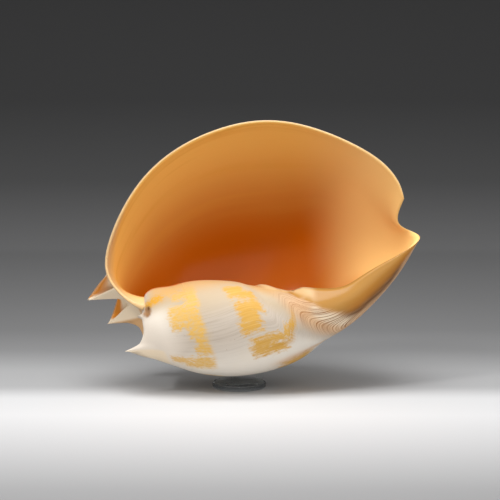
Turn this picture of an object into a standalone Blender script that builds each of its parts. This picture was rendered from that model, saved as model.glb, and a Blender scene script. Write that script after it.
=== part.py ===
# A large baler volute shell, open mouth towards the viewer, resting on a small clear display stand.
# Metres, +Z up. X runs to the right along the shell, and the mouth opens towards -Y.
# The origin is the middle of the stand's flat underside.
import math

import bmesh
import bpy
import numpy as np

MM = 0.001

# Real size of the shell: from the shoulder of the lip to its front tip, along the coiling axis, in millimetres.
LIP_LENGTH = 284.25

# How the shell lies: its coiling axis rises to the right, and the spire end hangs out to the left of the stand.
AXIS_RISE = math.radians(13.0)
APEX_PLACE = (-91.8, -32.0, 60.8)

# The stand: a clear disc with three pegs under the belly of the shell, in millimetres.
DISC_RADIUS = 25.5
DISC_THICK = 5.0
PEG_RADIUS = 3.5
PEG_CIRCLE = 21.0
PEG_COUNT = 3
FIRST_PEG_TURN = math.radians(20.0)
PEG_FOOT = 1.5  # how far a peg reaches into the disc before the two are fused
PEG_GAP = 0.3  # between a peg and the shell
EDGE_ROUND = 0.8
DISC_SIDES = 48
PEG_SIDES = 16
EDGE_STEPS = 2

# Growth of the shell. Each row is one line that runs around the shell as it grows.
# A stage is counted in turns back from the lip: 0 is the lip, -1 is one whole turn older.
# These rows give (distance along the axis, radius, degrees that the line runs ahead of its stage).
ROUND_ROWS = {
    "suture": {0: (10, 20, 26), -0.25: (9, 17.5, 12), -0.5: (9, 15.5, 5), -0.75: (9.5, 14, 0), -1: (10, 12.8, 0),
               -1.5: (10.5, 10.5, 0), -2: (11, 8.8, 0), -2.5: (11.5, 7, 0)},
    "ramp": {0: (-5, 32, 16), -0.25: (3.5, 25, 8), -0.5: (6.3, 20.5, 3), -0.75: (7, 17.5, 0), -1: (7.5, 15.3, 0),
             -1.5: (8, 12.2, 0), -2: (9, 10, 0), -2.5: (10, 8.2, 0)},
    "shoulder": {0: (-18.5, 55, 2), -0.125: (-13, 44, 2), -0.25: (-5, 35.5, 0), -0.375: (0.5, 30.5, 0),
                 -0.5: (3, 27, 0), -0.75: (5, 22, 0), -1: (6, 18.5, 0), -1.5: (7.5, 14.2, 0), -2: (9, 11.4, 0),
                 -2.5: (10.5, 9.2, 0)},
    "flank": {0: (-10.5, 88, 0), -0.25: (7, 60, 0), -0.5: (17, 37.5, 0), -0.75: (14, 29.5, 0), -1: (13, 24, 0),
              -1.5: (13, 17.5, 0), -2: (14, 13.5, 0), -2.5: (14.5, 10.5, 0)},
    "upper": {0: (37, 141.5, 0), -0.25: (42, 93, 0), -0.5: (44, 53.5, 0), -0.75: (38, 38.5, 0), -1: (33, 33, 0),
              -1.5: (28, 20.5, 0), -2: (26, 15, 0), -2.5: (24, 11, 0)},
    "periphery": {0: (118, 169.8, 0), -0.25: (108, 112, 0), -0.5: (95, 66.2, 0), -0.75: (82, 44, 0),
                  -1: (67, 33.2, 0), -1.5: (55, 20, 0), -2: (46, 13.5, 0), -2.5: (40, 9, 0)},
    "lower": {0: (188, 158.5, 0), -0.25: (178, 100, 0), -0.5: (147, 58.8, 0), -0.75: (118, 40, 0), -1: (98, 23.2, 0),
              -1.5: (75, 16, 0), -2: (62, 10.5, 0), -2.5: (54, 7, 0)},
}
# These rows, at the front end of the shell, give (along the axis, up, towards the viewer).
PLACED_ROWS = {
    "base": {0: (243, 122, 4), -0.12: (237, 84, -50), -0.25: (228, 22, -72), -0.4: (204.5, -30, -38),
             -0.55: (175, -47, 4), -0.7: (148, -27, 31), -0.85: (130, 4, 31), -1: (117, 18, 12),
             -1.25: (97, 3, -22), -1.5: (84, -15, -3), -1.75: (74, -3, 11), -2: (66, 8, 2), -2.5: (58, -5, 0)},
    "fasciole": {0: (266, 94, 4), -0.12: (257, 52, -36), -0.25: (262, 10, -28), -0.4: (229.5, -19, 4),
                 -0.55: (194, -29, 20), -0.7: (166, -18, 28), -0.85: (147, 2, 24), -1: (129, 13, 6),
                 -1.25: (106, 3, -15), -1.5: (90, -11, -3), -1.75: (79, -3, 8), -2: (70, 6, 2), -2.5: (61, -4, 0)},
    "face": {0: (271, 80, 4), -0.12: (261, 46, -25), -0.25: (274, 20, -10), -0.4: (232, -3, 14),
             -0.55: (199, -13, 24), -0.7: (172, -9, 25), -0.85: (150, 4, 18), -1: (132, 11, 2),
             -1.25: (109, 3, -12), -1.5: (92, -9, -3), -1.75: (81, -3, 7), -2: (72, 5, 2), -2.5: (62, -4, 0)},
    "rim": {0: (272, 66, 3), -0.12: (264, 41, -15), -0.25: (279, 25, -4), -0.4: (232, 10, 12),
            -0.55: (199, 0, 17), -0.7: (174, 3, 15), -0.8: (159, 6, 11), -0.875: (149, 5.5, 7), -1: (133, 8, -2),
            -1.25: (110, 3, -8), -1.5: (93, -6, -2), -1.75: (82, -2, 5), -2: (73, 4, 1), -2.5: (63, -3, 0)},
}
# Where each row lies across the growing sheet, from the suture (0) to the free rim (1).
ACROSS = {"suture": 0.0, "ramp": 0.07, "shoulder": 0.15, "flank": 0.25, "upper": 0.40, "periphery": 0.58,
          "lower": 0.73, "base": 0.85, "fasciole": 0.93, "face": 0.965, "rim": 1.0}

# Each turn is fixed on this line of the turn before it, and the inside face of its wall starts a little further on.
ATTACH = 0.19
INSIDE = 0.23
OVERLAP = 0.91  # turns from a point of the suture back to the line that it is fixed on
FIRST_STAGE = -2.5
DEEPEST_STAGE = -0.85  # the hollow ends here, out of sight

# Spines on the shoulder: stage, length, half the width of the foot, run of the back, and the way they point as
# (along, outward, ahead). The back of a spine is on its old side; the other side is an open channel between two rims.
SPINES = [
    (-0.114, 33.5, 12.0, 11.0, (-1.00, 0.07, 0.00)),
    (-0.222, 28.5, 12.0, 11.0, (-1.00, 0.10, 0.00)),
    (-0.325, 2.5, 7.0, 6.0, (-1.00, 0.30, 0.00)),
    (-0.425, 2.0, 6.0, 6.0, (-1.00, 0.30, 0.00)),
    (-0.525, 2.0, 6.0, 6.0, (-1.00, 0.30, 0.00)),
    (-0.640, 21.5, 11.5, 21.0, (-1.00, 0.02, -0.05)),
    (-0.875, 4.0, 5.0, 5.0, (-1.00, 0.20, 0.00)),
]
SPINE_LINE = 0.145
LONG_SPINE = 10.0  # a spine longer than this has a channel; a shorter one is a low knob
OUTER_RIM_RUN = 24.0 / 28  # how far each rim of the channel runs, for each millimetre of the spine
INNER_RIM_RUN = 15.0 / 28

# How finely the solid is cut: stages in a turn, how much closer they lie at the spines, and the lines across.
STAGES_PER_TURN = 40
CLOSER_AT_SPINES = 2.0
LINES_ACROSS = [0, 0.04, 0.08, 0.11, 0.13, 0.145, 0.16, 0.175, ATTACH, 0.21, INSIDE, 0.27, 0.32, 0.38, 0.44, 0.51,
                0.58, 0.65, 0.71, 0.76, 0.81, 0.85, 0.89, 0.92, 0.945, 0.965, 0.985, 1.0]
DOME_HEIGHT = 5.0
DOME_RINGS = 3


def spline_weights(knots, at):
    """Weights that carry values at the knots to a natural cubic spline at other points."""
    knots = np.asarray(knots, float)
    at = np.asarray(at, float)
    count = len(knots)
    gap = np.diff(knots)
    left = np.eye(count)
    right = np.zeros((count, count))
    for i in range(1, count - 1):
        left[i, i - 1:i + 2] = gap[i - 1], 2 * (gap[i - 1] + gap[i]), gap[i]
        right[i, i - 1:i + 2] = 6 / gap[i - 1], -6 / gap[i - 1] - 6 / gap[i], 6 / gap[i]
    bend = np.linalg.solve(left, right)
    value = np.eye(count)
    span = np.clip(np.searchsorted(knots, at) - 1, 0, count - 2)
    width = gap[span]
    a = (knots[span + 1] - at) / width
    b = (at - knots[span]) / width
    return (a[:, None] * value[span] + b[:, None] * value[span + 1]
            + ((a ** 3 - a) * width ** 2 / 6)[:, None] * bend[span]
            + ((b ** 3 - b) * width ** 2 / 6)[:, None] * bend[span + 1])


def row_points(name, stages):
    """One growth row at the given stages: (along, up, towards the viewer)."""
    if name in PLACED_ROWS:
        row = PLACED_ROWS[name]
        knots = sorted(row)
        return spline_weights(knots, stages) @ np.array([row[k] for k in knots], float)
    row = ROUND_ROWS[name]
    knots = sorted(row)
    values = np.array([row[k] for k in knots], float)
    weights = spline_weights(knots, stages)
    along = weights @ values[:, 0]
    radius = np.exp(weights @ np.log(values[:, 1]))
    angle = 2 * np.pi * stages + np.radians(weights @ values[:, 2])
    return np.stack([along, radius * np.cos(angle), radius * np.sin(angle)], 1)


def sheet(stages, across):
    """The outer face of the shell wall, as a grid of points, stage by stage."""
    rows = np.stack([row_points(name, stages) for name in ACROSS])
    weights = spline_weights(list(ACROSS.values()), across)
    return np.einsum("vr,rtc->tvc", weights, rows)


def smooth(low, high, value):
    share = np.clip((value - low) / (high - low), 0, 1)
    return share * share * (3 - 2 * share)


def bell(middle, width, value):
    return np.exp(-((value - middle) / width) ** 2)


def wall(stages, across):
    """Thickness of the wall: thin at the lip and in the early turns, thick in the pillar at the free rim."""
    t = stages[:, None]
    v = across[None, :]
    thick = 2.2 + 2.4 * smooth(0, -0.12, t)
    thick = thick - 2.4 * smooth(-0.25, -0.7, t) * smooth(0.40, 0.15, v)
    thick = thick + 8.0 * smooth(0.76, 0.92, v) * smooth(-0.22, -0.42, t)
    rounding = np.clip((v - 0.90) / 0.10, 0, 1)
    return thick * np.sqrt(1 - rounding ** 2)


def inner_sheet(stages, across):
    """The inner face: the outer rows moved in by the thickness of the wall, with a smooth sheet through them."""
    rows = np.array([0, 0.07, 0.15, 0.25, 0.40, 0.58, 0.73, 0.85, 0.93, 0.965, 0.985, 1.0])
    step = 0.008
    across_way = sheet(stages, rows + step) - sheet(stages, rows - step)
    growth_way = sheet(stages + step, rows) - sheet(stages - step, rows)
    normal = np.cross(growth_way, across_way)
    normal /= np.linalg.norm(normal, axis=2, keepdims=True)
    moved = sheet(stages, rows) - normal * wall(stages, rows)[..., None]
    return np.einsum("vr,trc->tvc", spline_weights(rows, across), moved)


def stage_list():
    """Stages over one overlap, closer together at the long spines, repeated back to the first stage."""
    fine = np.linspace(-OVERLAP, 0, 2001)
    density = np.ones(len(fine))
    for spine in SPINES:
        if spine[1] > LONG_SPINE:
            density += CLOSER_AT_SPINES * bell(spine[0] + 0.010, 0.030, fine)
    total = np.concatenate([[0], np.cumsum((density[1:] + density[:-1]) / 2)])
    step = round(STAGES_PER_TURN * OVERLAP * total[-1] / (len(fine) - 1))
    one = np.interp(np.linspace(0, total[-1], step + 1), total, fine)
    for spine in SPINES:
        one[np.argmin(abs(one - spine[0]))] = spine[0]
    cycles = range(math.ceil(-FIRST_STAGE / OVERLAP) - 1, -1, -1)
    stages = np.concatenate([one[:-1] - k * OVERLAP for k in cycles] + [one[-1:]])
    return stages[stages >= FIRST_STAGE - 1e-9], step


def spine_height(x, y, length, foot, back_run):
    """Share of its height that a spine has at x along its growth and y across it, in millimetres."""
    q = np.abs(y) / foot
    slope = np.where(q < 0.45, 1 - 0.03 * (q / 0.45) ** 2, 0.97 * np.clip((1 - q) / 0.55, 0, 1) ** 2)
    side = np.clip(1 - q, 0, 1) ** 2
    side = side + (slope - side) * smooth(-0.35 * back_run, 0, x)
    # The back is like a needle at the top and flares at the foot.
    flare = 0.55 * np.clip(1 + x / back_run, 0, 1) ** 2 + 0.45 * np.clip(1 + x / (0.28 * back_run), 0, 1) ** 1.5
    if length < LONG_SPINE:
        front = np.clip(1 - x / foot, 0, 1) ** 2 * side
    else:
        # The front has two rims that run down from the tip, with the channel between them.
        run = np.where(y > 0, OUTER_RIM_RUN, INNER_RIM_RUN) * length
        rim = np.clip(1 - x / run, 0, 1)
        floor = np.clip(1 - x / (0.24 * length), 0, 1) ** 1.5
        front = rim * slope - (rim - np.minimum(floor, rim)) * (1 - smooth(0.05, 0.45, q))
    return np.where(x < 0, flare * side, front)


def raise_spines(grid, stages, across):
    """Push the spines out of the shoulder, squeezing each to a point as it rises."""
    beside = sheet(stages, np.array([SPINE_LINE - 0.01, SPINE_LINE + 0.01]))
    aside = beside[:, 1] - beside[:, 0]
    aside /= np.linalg.norm(aside, axis=1, keepdims=True)
    y_share = (across - SPINE_LINE)[None, :]
    reach = 0.04
    for stage, length, foot, back_run, way in SPINES:
        angle = 2 * math.pi * stage
        outward = np.array([0, math.cos(angle), math.sin(angle)])
        ahead = np.array([0, -math.sin(angle), math.cos(angle)])
        point = way[0] * np.array([1.0, 0, 0]) + way[1] * outward + way[2] * ahead
        point /= np.linalg.norm(point)
        inner_side, middle, outer_side = sheet(np.array([stage]), SPINE_LINE + reach * np.array([-1, 0, 1]))[0]
        x = (stages - stage)[:, None] * 2 * math.pi * math.hypot(middle[1], middle[2])
        inner_scale = np.linalg.norm(middle - inner_side) / reach
        outer_scale = np.linalg.norm(outer_side - middle) / reach
        y = y_share * np.where(y_share > 0, outer_scale, inner_scale)
        height = spine_height(x, y, length, foot, back_run)
        squeeze = -y * 0.7 * np.clip(height, 0, 1) ** 0.7 * (length > LONG_SPINE)
        grid = grid + (length * height)[..., None] * point + squeeze[..., None] * aside[:, None, :]
    return grid


def raised_pads(stages, across):
    """Height of the glossy pad beside the back end of the lip, and of the two folds on the pillar in the mouth."""
    t = stages[:, None]
    v = across[None, :]
    pad = 9.0 * bell(-0.98, 0.07, t) * smooth(0.18, 0.25, v) * (1 - smooth(0.27, 0.46, v))
    first_fold = 1.8 * bell(0.925, 0.018, v) * smooth(-0.90, -0.99, t)
    second_fold = 1.8 * bell(0.865, 0.018, v) * smooth(-1.02, -1.12, t)
    return pad + first_fold + second_fold


class Skin:
    """The points and faces of the shell. Each turn shares its first points with the turn that it is fixed on."""

    def __init__(self):
        across = np.array(LINES_ACROSS, float)
        self.stages, self.step = stage_list()
        self.attach = LINES_ACROSS.index(ATTACH)
        self.inside = LINES_ACROSS.index(INSIDE)
        self.last = len(self.stages) - 1
        self.width = len(across) - 1
        outer = sheet(self.stages, across)
        away = outer * np.array([0, 1.0, 1.0])
        away /= np.linalg.norm(away, axis=2, keepdims=True)
        outer = outer + away * raised_pads(self.stages, across)[..., None]
        self.pull_to_last_turn(outer, outer, self.attach, 0.12, across)
        self.inner_grid = inner_sheet(self.stages, across)
        self.pull_to_last_turn(self.inner_grid, outer, self.inside, 0.14, across)
        self.outer_grid = raise_spines(outer, self.stages, across)
        self.points = []
        self.faces = []
        self.known = {}

    def pull_to_last_turn(self, grid, outer, line, reach, across):
        """Bend the start of each turn so that it meets a line of the turn before."""
        pull = np.clip(1 - across / reach, 0, 1)[:, None] ** 2
        for i in range(self.step, self.last + 1):
            grid[i] += pull * (outer[i - self.step, line] - grid[i, 0])

    def add(self, place):
        self.points.append(place)
        return len(self.points) - 1

    def outer(self, i, j):
        if j == 0 and i >= self.step:
            return self.outer(i - self.step, self.attach)
        if ("outer", i, j) not in self.known:
            self.known["outer", i, j] = self.add(self.outer_grid[i, j])
        return self.known["outer", i, j]

    def inner(self, i, j):
        if j == 0:
            return self.outer(i - self.step, self.inside)
        if j == self.width:
            return self.outer(i, j)
        if ("inner", i, j) not in self.known:
            self.known["inner", i, j] = self.add(self.inner_grid[i, j])
        return self.known["inner", i, j]

    def face(self, *ring):
        ring = list(dict.fromkeys(ring))
        if len(ring) > 2:
            self.faces.append(ring)

    def band(self, first, second, closed):
        """Faces between two lines of points."""
        pairs = list(zip(first, second))
        following = pairs[1:] + pairs[:1] if closed else pairs[1:]
        for (a, b), (c, d) in zip(pairs, following):
            self.face(a, b, d, c)

    def fan(self, ring, middle):
        for a, b in zip(ring, ring[1:] + ring[:1]):
            self.face(a, b, middle)


def outer_and_inner_faces(skin):
    """The spire, the newest turn and, deep inside, the part of the last turn that lines the hollow."""
    deep = int(np.argmin(abs(skin.stages - DEEPEST_STAGE)))
    for i in range(skin.last):
        newest = i >= skin.last - skin.step
        lining = i >= deep - skin.step
        for j in range(skin.width):
            if newest or j < skin.attach or (lining and j >= skin.inside):
                skin.face(skin.outer(i, j), skin.outer(i + 1, j), skin.outer(i + 1, j + 1), skin.outer(i, j + 1))
    for i in range(deep, skin.last):
        skin.band([skin.inner(i + 1, j) for j in range(skin.width + 1)],
                  [skin.inner(i, j) for j in range(skin.width + 1)], closed=False)
    return deep


def lip_edge(skin):
    """The lip: a rounded edge between the outer and the inner face."""
    last = skin.last
    ahead = skin.outer_grid[last] - skin.outer_grid[last - 1]
    ahead /= np.linalg.norm(ahead, axis=1, keepdims=True)
    middle = [skin.outer(last - skin.step, skin.attach + 1)]
    for j in range(1, skin.width):
        outer = skin.outer_grid[last, j]
        inner = skin.inner_grid[last, j]
        bulge = 0.4 * np.linalg.norm(outer - inner)
        middle.append(skin.add((outer + inner) / 2 + ahead[j] * bulge))
    middle.append(skin.outer(last, skin.width))
    skin.band([skin.outer(last, j) for j in range(skin.width + 1)], middle, closed=False)
    skin.band(middle, [skin.inner(last, j) for j in range(skin.width + 1)], closed=False)


def deep_end(skin, deep):
    """The wall at the deep end of the hollow."""
    rim = [skin.outer(i, skin.width) for i in range(deep - skin.step, deep + 1)]
    hollow = [skin.inner(deep, j) for j in range(skin.width - 1, -1, -1)]
    hollow += [skin.outer(deep - skin.step, j) for j in range(skin.inside + 1, skin.width)]
    middle = skin.add(np.mean([skin.points[k] for k in hollow], axis=0))
    skin.fan(rim + hollow, middle)


def first_dome(skin):
    """The smooth dome at the very start of the spire."""
    base = [skin.outer(i, 0) for i in range(skin.step + 1)]
    base += [skin.outer(0, j) for j in range(skin.attach - 1, 0, -1)]
    middle = np.mean([skin.points[k] for k in base], axis=0)
    ring = base
    for r in range(1, DOME_RINGS):
        turn = r / DOME_RINGS * math.pi / 2
        lift = np.array([-DOME_HEIGHT * math.sin(turn), 0, 0])
        higher = [skin.add(middle + (skin.points[k] - middle) * math.cos(turn) + lift) for k in base]
        skin.band(ring, higher, closed=True)
        ring = higher
    skin.fan(ring[::-1], skin.add(middle - np.array([DOME_HEIGHT, 0, 0])))


def row_scale():
    """Millimetres of the real shell for one unit of the growth rows."""
    shoulder = ROUND_ROWS["shoulder"][0][0]
    front_tip = PLACED_ROWS["rim"][0][0]
    return LIP_LENGTH / (front_tip - shoulder)


def finish(made, colour, roughness, transmission=0.0):
    surface = bpy.data.materials.new(made.name)
    surface.use_nodes = True
    shader = surface.node_tree.nodes["Principled BSDF"]
    shader.inputs["Base Color"].default_value = (*colour, 1)
    shader.inputs["Roughness"].default_value = roughness
    shader.inputs["Metallic"].default_value = 0
    shader.inputs["Transmission Weight"].default_value = transmission
    made.data.materials.append(surface)


def volute_shell():
    skin = Skin()
    deep = outer_and_inner_faces(skin)
    lip_edge(skin)
    deep_end(skin, deep)
    first_dome(skin)
    mesh = bpy.data.meshes.new("volute_shell")
    mesh.from_pydata([tuple(p) for p in np.array(skin.points) * row_scale() * MM], [], skin.faces)
    mesh.shade_smooth()
    made = bpy.data.objects.new("volute_shell", mesh)
    made.location = np.array(APEX_PLACE) * MM
    made.rotation_euler = (math.pi / 2, -AXIS_RISE, 0)
    bpy.context.collection.objects.link(made)
    finish(made, colour=(0.80, 0.66, 0.50), roughness=0.35)
    return made


def belly_height(shell, x, y, radius):
    """The lowest height of the shell over a round spot, in millimetres."""
    bpy.context.view_layer.update()
    grid = sheet(np.linspace(-0.75, -0.15, 181), np.linspace(0.2, 1.0, 161)).reshape(-1, 3) * row_scale() * MM
    place = np.array(shell.matrix_world)
    spots = (grid @ place[:3, :3].T + place[:3, 3]) / MM
    over = np.hypot(spots[:, 0] - x, spots[:, 1] - y) < radius
    return float(spots[over, 2].min())


def round_bar(name, radius, low, high, rounded, sides, x, y):
    """An upright round bar at x, y, in millimetres. The top edge, and the bottom edge if rounded, are eased."""
    turns = [k * math.pi / 2 / EDGE_STEPS for k in range(EDGE_STEPS + 1)]
    profile = [(radius, low)]
    if rounded:
        profile = [(radius - EDGE_ROUND * (1 - math.sin(a)), low + EDGE_ROUND * (1 - math.cos(a))) for a in turns]
    profile += [(radius - EDGE_ROUND * (1 - math.cos(a)), high - EDGE_ROUND * (1 - math.sin(a))) for a in turns]
    bm = bmesh.new()
    rings = []
    for r, z in profile:
        ring = []
        for k in range(sides):
            angle = 2 * math.pi * k / sides
            ring.append(bm.verts.new((r * math.cos(angle) * MM, r * math.sin(angle) * MM, z * MM)))
        rings.append(ring)
    for lower, upper in zip(rings, rings[1:]):
        for k in range(sides):
            bm.faces.new((lower[k], lower[(k + 1) % sides], upper[(k + 1) % sides], upper[k]))
    bm.faces.new(rings[0][::-1])
    bm.faces.new(rings[-1])
    mesh = bpy.data.meshes.new(name)
    bm.to_mesh(mesh)
    bm.free()
    mesh.shade_smooth()
    mesh.set_sharp_from_angle(angle=math.radians(40))
    made = bpy.data.objects.new(name, mesh)
    made.location = (x * MM, y * MM, 0)
    bpy.context.collection.objects.link(made)
    return made


def clear_stand(shell):
    """A disc with three pegs, each as high as the belly of the shell above it, fused into one clear piece."""
    stand = round_bar("clear_stand", DISC_RADIUS, 0, DISC_THICK, True, DISC_SIDES, 0, 0)
    for k in range(PEG_COUNT):
        angle = FIRST_PEG_TURN + 2 * math.pi * k / PEG_COUNT
        x = PEG_CIRCLE * math.cos(angle)
        y = PEG_CIRCLE * math.sin(angle)
        top = belly_height(shell, x, y, PEG_RADIUS + PEG_GAP) - PEG_GAP
        peg = round_bar("peg_%d" % (k + 1), PEG_RADIUS, DISC_THICK - PEG_FOOT, top, False, PEG_SIDES, x, y)
        peg.display_type = "WIRE"
        peg.hide_render = True
        fuse = stand.modifiers.new("fuse_" + peg.name, "BOOLEAN")
        fuse.operation = "UNION"
        fuse.object = peg
    finish(stand, colour=(0.95, 0.97, 0.96), roughness=0.05, transmission=0.95)


for old in list(bpy.data.objects):
    bpy.data.objects.remove(old, do_unlink=True)
clear_stand(volute_shell())
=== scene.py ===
# The volute shell on its clear stand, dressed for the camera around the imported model.
import math
from collections import namedtuple

import bpy
import numpy as np
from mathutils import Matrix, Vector


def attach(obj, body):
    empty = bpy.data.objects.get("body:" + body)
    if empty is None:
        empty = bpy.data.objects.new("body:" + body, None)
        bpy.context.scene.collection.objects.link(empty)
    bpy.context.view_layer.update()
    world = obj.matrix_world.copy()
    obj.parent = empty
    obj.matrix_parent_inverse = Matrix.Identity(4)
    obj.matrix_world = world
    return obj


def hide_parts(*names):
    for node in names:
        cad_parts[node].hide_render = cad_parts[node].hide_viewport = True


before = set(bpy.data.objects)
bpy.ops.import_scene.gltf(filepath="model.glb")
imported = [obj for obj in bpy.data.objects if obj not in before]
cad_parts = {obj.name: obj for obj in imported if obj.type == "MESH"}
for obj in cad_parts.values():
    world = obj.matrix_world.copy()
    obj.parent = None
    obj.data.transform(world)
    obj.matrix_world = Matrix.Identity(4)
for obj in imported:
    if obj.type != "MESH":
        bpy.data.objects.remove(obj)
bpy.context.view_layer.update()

# The shell is a large baler volute. It grew as one piece of limy wall, laid down at the lip turn after turn,
# so its whole form follows from a few growth rows that run round the coiling axis from the spire to the lip.
# Its outside is chalky cream with yellow blotches, and its mouth is lined with a thick orange glaze.

# The sizes of the shell are in millimetres.
MM = 0.001
LIP_LENGTH = 284.25
AXIS_RISE = math.radians(13.0)
APEX_PLACE = (-91.8, -32.0, 60.8)

# A stage is counted in turns back from the lip. At each stage, a round row gives (along the axis, radius,
# degrees ahead of the stage).
ROUND_ROWS = {
    "suture": {0: (10, 20, 26), -0.25: (9, 17.5, 12), -0.5: (9, 15.5, 5), -0.75: (9.5, 14, 0),
               -1: (10, 12.8, 0), -1.5: (10.5, 10.5, 0), -2: (11, 8.8, 0), -2.5: (11.5, 7, 0)},
    "ramp": {0: (-5, 32, 16), -0.25: (3.5, 25, 8), -0.5: (6.3, 20.5, 3), -0.75: (7, 17.5, 0),
             -1: (7.5, 15.3, 0), -1.5: (8, 12.2, 0), -2: (9, 10, 0), -2.5: (10, 8.2, 0)},
    "shoulder": {0: (-18.5, 55, 2), -0.125: (-13, 44, 2), -0.25: (-5, 35.5, 0), -0.375: (0.5, 30.5, 0),
                 -0.5: (3, 27, 0), -0.75: (5, 22, 0), -1: (6, 18.5, 0), -1.5: (7.5, 14.2, 0),
                 -2: (9, 11.4, 0), -2.5: (10.5, 9.2, 0)},
    "flank": {0: (-10.5, 88, 0), -0.25: (7, 60, 0), -0.5: (17, 37.5, 0), -0.75: (14, 29.5, 0),
              -1: (13, 24, 0), -1.5: (13, 17.5, 0), -2: (14, 13.5, 0), -2.5: (14.5, 10.5, 0)},
    "upper": {0: (37, 141.5, 0), -0.25: (42, 93, 0), -0.5: (44, 53.5, 0), -0.75: (38, 38.5, 0),
              -1: (33, 33, 0), -1.5: (28, 20.5, 0), -2: (26, 15, 0), -2.5: (24, 11, 0)},
    "periphery": {0: (118, 169.8, 0), -0.25: (108, 112, 0), -0.5: (95, 66.2, 0), -0.75: (82, 44, 0),
                  -1: (67, 33.2, 0), -1.5: (55, 20, 0), -2: (46, 13.5, 0), -2.5: (40, 9, 0)},
    "lower": {0: (188, 158.5, 0), -0.25: (178, 100, 0), -0.5: (147, 58.8, 0), -0.75: (118, 40, 0),
              -1: (98, 23.2, 0), -1.5: (75, 16, 0), -2: (62, 10.5, 0), -2.5: (54, 7, 0)},
}
# These rows, at the front end of the shell, give (along the axis, up, towards the viewer).
PLACED_ROWS = {
    "base": {0: (243, 122, 4), -0.12: (237, 84, -50), -0.25: (228, 22, -72), -0.4: (204.5, -30, -38),
             -0.55: (175, -47, 4), -0.7: (148, -27, 31), -0.85: (130, 4, 31), -1: (117, 18, 12),
             -1.25: (97, 3, -22), -1.5: (84, -15, -3), -1.75: (74, -3, 11), -2: (66, 8, 2),
             -2.5: (58, -5, 0)},
    "fasciole": {0: (266, 94, 4), -0.12: (257, 52, -36), -0.25: (262, 10, -28), -0.4: (229.5, -19, 4),
                 -0.55: (194, -29, 20), -0.7: (166, -18, 28), -0.85: (147, 2, 24), -1: (129, 13, 6),
                 -1.25: (106, 3, -15), -1.5: (90, -11, -3), -1.75: (79, -3, 8), -2: (70, 6, 2),
                 -2.5: (61, -4, 0)},
    "face": {0: (271, 80, 4), -0.12: (261, 46, -25), -0.25: (274, 20, -10), -0.4: (232, -3, 14),
             -0.55: (199, -13, 24), -0.7: (172, -9, 25), -0.85: (150, 4, 18), -1: (132, 11, 2),
             -1.25: (109, 3, -12), -1.5: (92, -9, -3), -1.75: (81, -3, 7), -2: (72, 5, 2),
             -2.5: (62, -4, 0)},
    "rim": {0: (272, 66, 3), -0.12: (264, 41, -15), -0.25: (279, 25, -4), -0.4: (232, 10, 12),
            -0.55: (199, 0, 17), -0.7: (174, 3, 15), -0.8: (159, 6, 11), -0.875: (149, 5.5, 7),
            -1: (133, 8, -2), -1.25: (110, 3, -8), -1.5: (93, -6, -2), -1.75: (82, -2, 5), -2: (73, 4, 1),
            -2.5: (63, -3, 0)},
}
# A place across the wall is 0 at the seam with the turn before and 1 at the free rim of the pillar.
ACROSS = {"suture": 0.0, "ramp": 0.07, "shoulder": 0.15, "flank": 0.25, "upper": 0.40, "periphery": 0.58,
          "lower": 0.73, "base": 0.85, "fasciole": 0.93, "face": 0.965, "rim": 1.0}
NEAR_RIM = 0.985
# Each turn starts on a line of the turn before: ATTACH on the outside, and INSIDE in the hollow.
ATTACH = 0.19
INSIDE = 0.23
OUTSIDE_BEND = 0.12
INSIDE_BEND = 0.14
OVERLAP = 0.91
FIRST_STAGE = -2.5
DEEPEST_STAGE = -0.85
# The thickness of the wall at the lip, what it gains further in, and what the pillar has on top of that.
LIP_WALL = 2.2
FURTHER_WALL = 2.4
PILLAR_WALL = 8.0
# How far the rounded edge of the lip bulges, as a share of the wall.
LIP_BULGE = 0.4

# A spine of the shoulder: its stage, length, half the width of its foot, the run of its back, and the way it
# points, as parts along the axis, outwards and ahead.
Spine = namedtuple("Spine", "stage length foot back_run way")
SPINES = [
    Spine(-0.114, 33.5, 12.0, 11.0, (-1.00, 0.07, 0.00)),
    Spine(-0.222, 28.5, 12.0, 11.0, (-1.00, 0.10, 0.00)),
    Spine(-0.325, 2.5, 7.0, 6.0, (-1.00, 0.30, 0.00)),
    Spine(-0.425, 2.0, 6.0, 6.0, (-1.00, 0.30, 0.00)),
    Spine(-0.525, 2.0, 6.0, 6.0, (-1.00, 0.30, 0.00)),
    Spine(-0.640, 21.5, 11.5, 21.0, (-1.00, 0.02, -0.05)),
    Spine(-0.875, 4.0, 5.0, 5.0, (-1.00, 0.20, 0.00)),
]
SPINE_LINE = 0.145
LONG_SPINE = 10.0
LONG_SPINES = [spine for spine in SPINES if spine.length > LONG_SPINE]
# The form of a spine, in shares of the half foot, of the length and of the run of the back.
CREST_HALF = 0.45
CREST_DROP = 0.03
GROOVE_MIDDLE = 0.05
OUTER_RIM_RUN = 24.0 / 28
INNER_RIM_RUN = 15.0 / 28
FLOOR_RUN = 0.24
ROUND_BACK = 0.35
BROAD_FLARE = 0.55
STEEP_FLARE = 0.45
STEEP_RUN = 0.28
TIP_SQUEEZE = 0.7
SQUEEZE_POWER = 0.7

# Heights and depths on the glossy pad and on the folds of the pillar.
PAD_HEIGHT = 9.0
NOTCH_DEPTH = 2.6
FIRST_FOLD = 2.4
SECOND_FOLD = 1.8
RIM_FOLD = 1.8
RIM_DENT = 2.0

STAGES_PER_TURN = 200
CLOSER_AT_SPINES = 2.0
CLOSER_LEAD = 0.010
CLOSER_RUN = 0.030
DOME_HEIGHT = 5.0
DOME_RINGS = 6


def even(low, high, count):
    return list(np.linspace(low, high, count, endpoint=False))


LINES_ACROSS = (even(0, 0.09, 14) + even(0.09, ATTACH, 26) + [ATTACH, 0.21] + even(INSIDE, 0.85, 44)
                + even(0.85, 1.0, 20) + [1.0])


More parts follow.
